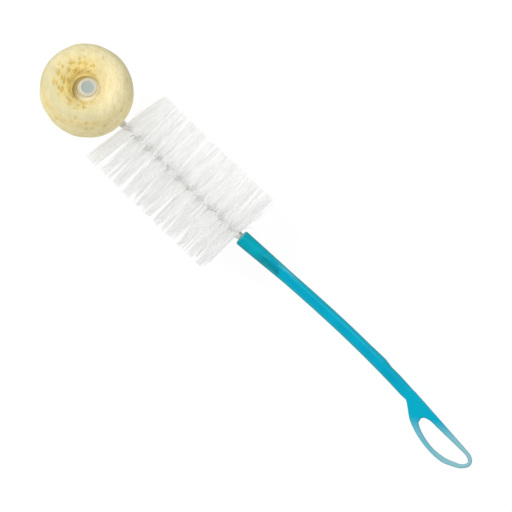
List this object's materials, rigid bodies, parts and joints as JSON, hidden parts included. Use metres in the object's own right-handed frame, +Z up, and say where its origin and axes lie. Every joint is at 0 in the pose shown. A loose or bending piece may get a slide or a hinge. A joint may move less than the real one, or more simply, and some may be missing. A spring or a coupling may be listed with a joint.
{
  "type": "bottle brush",
  "caption": "Bottle brush with a round bristle head on twisted wire, a foam ring on the wire's bent tip, and a slim bowed handle that ends in a hanging loop.",
  "frame": {"origin": "on the surface that the brush lies on, under the middle of its outline", "axes": "+X along the wire stem towards the handle's loop, +Z up, the side that the foam ring is bent to"},
  "size_m": [0.3134, 0.0524, 0.0713],
  "materials": {
    "handle_plastic": "satin",
    "stem_steel": "satin",
    "bristle_nylon": "satin",
    "foam": "matte",
    "cap_plastic": "satin"
  },
  "bodies": {
    "brush": {"handle": "handle_plastic", "stem_wire": "stem_steel", "bristles_1": "bristle_nylon", "bristles_2": "bristle_nylon", "bristles_3": "bristle_nylon", "bristles_4": "bristle_nylon", "tip_cap": "cap_plastic", "backing_washer": "cap_plastic"},
    "foam_ring": {"sponge": "foam"}
  },
  "joints": [
    {"name": "sponge_spin", "type": "hinge", "parent": "brush", "child": "foam_ring", "pos_m": [-0.13168, -0.0005, 0.0525], "axis": [-0.2544, 0.1845, 0.9493], "continuous": true}
  ]
}
